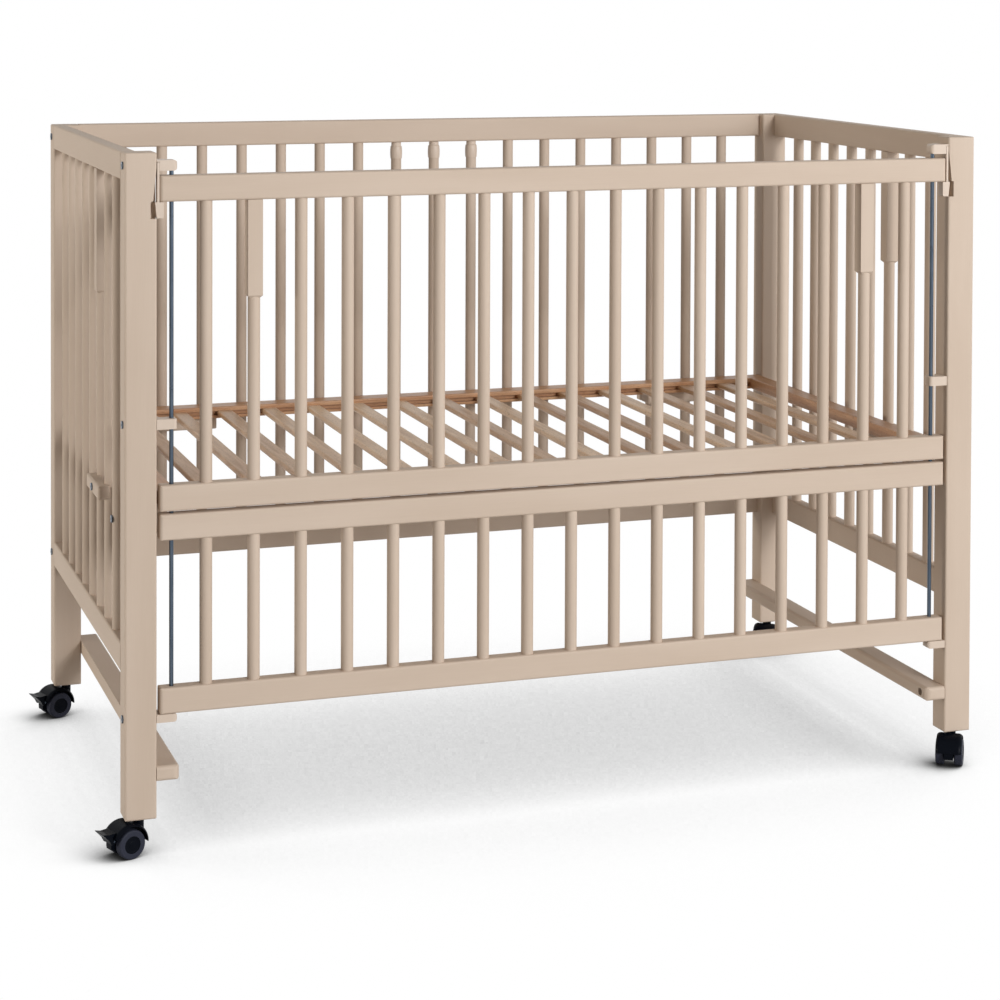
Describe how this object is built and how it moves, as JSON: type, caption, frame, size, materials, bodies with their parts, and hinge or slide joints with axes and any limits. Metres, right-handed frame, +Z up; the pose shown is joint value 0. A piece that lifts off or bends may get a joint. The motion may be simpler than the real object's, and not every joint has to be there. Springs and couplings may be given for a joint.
{
  "type": "kids bed",
  "caption": "Taupe slatted cot on casters with a sliding front in two gates, slip bars and a height-adjustable slatted mattress base.",
  "frame": {"origin": "on the floor under the middle of the bounding box", "axes": "+X along the cot to the right seen from the gates, -Y towards the gates, +Z up"},
  "size_m": [1.3562, 0.741, 0.965],
  "materials": {
    "taupe_lacquer": "satin lacquer",
    "natural_wood": "raw sanded beech",
    "beige_plastic": "moulded",
    "rod_steel": "galvanised",
    "zinc_steel": "zinc plated",
    "caster_black": "moulded",
    "wheel_black": "moulded"
  },
  "bodies": {
    "frame": {"post_front_left": "taupe_lacquer", "post_front_right": "taupe_lacquer", "post_back_left": "taupe_lacquer", "post_back_right": "taupe_lacquer", "end_top_rail_left": "taupe_lacquer", "end_top_rail_right": "taupe_lacquer", "end_bottom_rail_left": "taupe_lacquer", "end_bottom_rail_right": "taupe_lacquer", "end_bars_left": "taupe_lacquer", "end_bars_right": "taupe_lacquer", "end_rail_dowels": "natural_wood", "stretcher_left": "taupe_lacquer", "stretcher_right": "taupe_lacquer", "back_top_rail": "taupe_lacquer", "back_bottom_rail": "taupe_lacquer", "back_bars": "taupe_lacquer", "slip_bars": "taupe_lacquer", "slip_spring_1": "zinc_steel", "slip_spring_2": "zinc_steel", "slip_spring_3": "zinc_steel", "guide_rods": "rod_steel", "top_fitting_left": "beige_plastic", "top_fitting_right": "beige_plastic", "rod_brackets": "beige_plastic", "frame_bolts": "zinc_steel"},
    "upper_gate": {"upper_gate_top_rail": "taupe_lacquer", "upper_gate_bottom_rail": "taupe_lacquer", "upper_gate_bars": "taupe_lacquer"},
    "lower_gate": {"lower_gate_top_rail": "taupe_lacquer", "lower_gate_bottom_rail": "taupe_lacquer", "lower_gate_bars": "taupe_lacquer"},
    "latch_left": {"latch_left": "beige_plastic"},
    "latch_right": {"latch_right": "beige_plastic"},
    "slip_cap_1": {"slip_cap_1": "beige_plastic"},
    "slip_cap_2": {"slip_cap_2": "beige_plastic"},
    "slip_cap_3": {"slip_cap_3": "beige_plastic"},
    "mattress_base": {"base_long_rails": "natural_wood", "base_end_rails": "natural_wood", "base_slats": "natural_wood", "clamp_blocks_outer": "taupe_lacquer", "clamp_blocks_inner": "taupe_lacquer", "clamp_bolts": "zinc_steel"},
    "caster_front_left": {"hood_front_left": "caster_black", "axle_pins_front_left": "zinc_steel"},
    "wheel_near_front_left": {"wheel_near_front_left": "wheel_black"},
    "wheel_far_front_left": {"wheel_far_front_left": "wheel_black"},
    "pedal_front_left": {"pedal_front_left": "caster_black"},
    "caster_front_right": {"hood_front_right": "caster_black", "axle_pins_front_right": "zinc_steel"},
    "wheel_near_front_right": {"wheel_near_front_right": "wheel_black"},
    "wheel_far_front_right": {"wheel_far_front_right": "wheel_black"},
    "caster_back_left": {"hood_back_left": "caster_black", "axle_pins_back_left": "zinc_steel"},
    "wheel_near_back_left": {"wheel_near_back_left": "wheel_black"},
    "wheel_far_back_left": {"wheel_far_back_left": "wheel_black"},
    "pedal_back_left": {"pedal_back_left": "caster_black"},
    "caster_back_right": {"hood_back_right": "caster_black", "axle_pins_back_right": "zinc_steel"},
    "wheel_near_back_right": {"wheel_near_back_right": "wheel_black"},
    "wheel_far_back_right": {"wheel_far_back_right": "wheel_black"}
  },
  "joints": [
    {"name": "upper_gate_lift", "type": "slide", "parent": "frame", "child": "upper_gate", "axis": [0, 0, 1], "range_m": [0, 0.0055]},
    {"name": "lower_gate_lift", "type": "slide", "parent": "frame", "child": "lower_gate", "axis": [0, 0, 1], "range_m": [0, 0.0035]},
    {"name": "latch_left_press", "type": "hinge", "parent": "frame", "child": "latch_left", "pos_m": [-0.59295, -0.33554, 0.95], "axis": [0, 1, 0], "range_deg": [0, 6.1], "stiffness_Nm_per_rad": 2},
    {"name": "latch_right_press", "type": "hinge", "parent": "frame", "child": "latch_right", "pos_m": [0.62006, -0.33554, 0.95], "axis": [0, -1, 0], "range_deg": [0, 6.1], "stiffness_Nm_per_rad": 2},
    {"name": "slip_cap_1_pull", "type": "slide", "parent": "frame", "child": "slip_cap_1", "axis": [0, 0, -1], "range_m": [0, 0.009], "stiffness_N_per_m": 300, "springref_m": -0.004, "deforming": ["slip_spring_1"]},
    {"name": "slip_cap_2_pull", "type": "slide", "parent": "frame", "child": "slip_cap_2", "axis": [0, 0, -1], "range_m": [0, 0.009], "stiffness_N_per_m": 300, "springref_m": -0.004, "deforming": ["slip_spring_2"]},
    {"name": "slip_cap_3_pull", "type": "slide", "parent": "frame", "child": "slip_cap_3", "axis": [0, 0, -1], "range_m": [0, 0.009], "stiffness_N_per_m": 300, "springref_m": -0.004, "deforming": ["slip_spring_3"]},
    {"name": "base_height", "type": "slide", "parent": "frame", "child": "mattress_base", "axis": [0, 0, 1], "range_m": [-0.17, 0]},
    {"name": "caster_front_left_swivel", "type": "hinge", "parent": "frame", "child": "caster_front_left", "pos_m": [-0.61694, -0.32254, 0.05], "axis": [0, 0, 1], "continuous": true},
    {"name": "wheel_near_front_left_roll", "type": "hinge", "parent": "caster_front_left", "child": "wheel_near_front_left", "pos_m": [-0.6313, -0.34229, 0.02], "axis": [-0.3256, 0.9455, 0], "continuous": true},
    {"name": "wheel_far_front_left_roll", "type": "hinge", "parent": "caster_front_left", "child": "wheel_far_front_left", "pos_m": [-0.64041, -0.31582, 0.02], "axis": [-0.3256, 0.9455, 0], "continuous": true},
    {"name": "pedal_front_left_press", "type": "hinge", "parent": "caster_front_left", "child": "pedal_front_left", "pos_m": [-0.65756, -0.33653, 0.02702], "axis": [0.3256, -0.9455, 0], "range_deg": [0, 18]},
    {"name": "caster_front_right_swivel", "type": "hinge", "parent": "frame", "child": "caster_front_right", "pos_m": [0.64406, -0.32254, 0.05], "axis": [0, 0, 1], "continuous": true},
    {"name": "wheel_near_front_right_roll", "type": "hinge", "parent": "caster_front_right", "child": "wheel_near_front_right", "pos_m": [0.64448, -0.34695, 0.02], "axis": [-0.829, 0.5592, 0], "continuous": true},
    {"name": "wheel_far_front_right_roll", "type": "hinge", "parent": "caster_front_right", "child": "wheel_far_front_right", "pos_m": [0.62126, -0.3313, 0.02], "axis": [-0.829, 0.5592, 0], "continuous": true},
    {"name": "caster_back_left_swivel", "type": "hinge", "parent": "frame", "child": "caster_back_left", "pos_m": [-0.61694, 0.33946, 0.05], "axis": [0, 0, 1], "continuous": true},
    {"name": "wheel_near_back_left_roll", "type": "hinge", "parent": "caster_back_left", "child": "wheel_near_back_left", "pos_m": [-0.6313, 0.31971, 0.02], "axis": [-0.3256, 0.9455, 0], "continuous": true},
    {"name": "wheel_far_back_left_roll", "type": "hinge", "parent": "caster_back_left", "child": "wheel_far_back_left", "pos_m": [-0.64041, 0.34618, 0.02], "axis": [-0.3256, 0.9455, 0], "continuous": true},
    {"name": "pedal_back_left_press", "type": "hinge", "parent": "caster_back_left", "child": "pedal_back_left", "pos_m": [-0.65756, 0.32547, 0.02702], "axis": [0.3256, -0.9455, 0], "range_deg": [0, 18]},
    {"name": "caster_back_right_swivel", "type": "hinge", "parent": "frame", "child": "caster_back_right", "pos_m": [0.64406, 0.33946, 0.05], "axis": [0, 0, 1], "continuous": true},
    {"name": "wheel_near_back_right_roll", "type": "hinge", "parent": "caster_back_right", "child": "wheel_near_back_right", "pos_m": [0.64448, 0.31505, 0.02], "axis": [-0.829, 0.5592, 0], "continuous": true},
    {"name": "wheel_far_back_right_roll", "type": "hinge", "parent": "caster_back_right", "child": "wheel_far_back_right", "pos_m": [0.62126, 0.3307, 0.02], "axis": [-0.829, 0.5592, 0], "continuous": true}
  ]
}
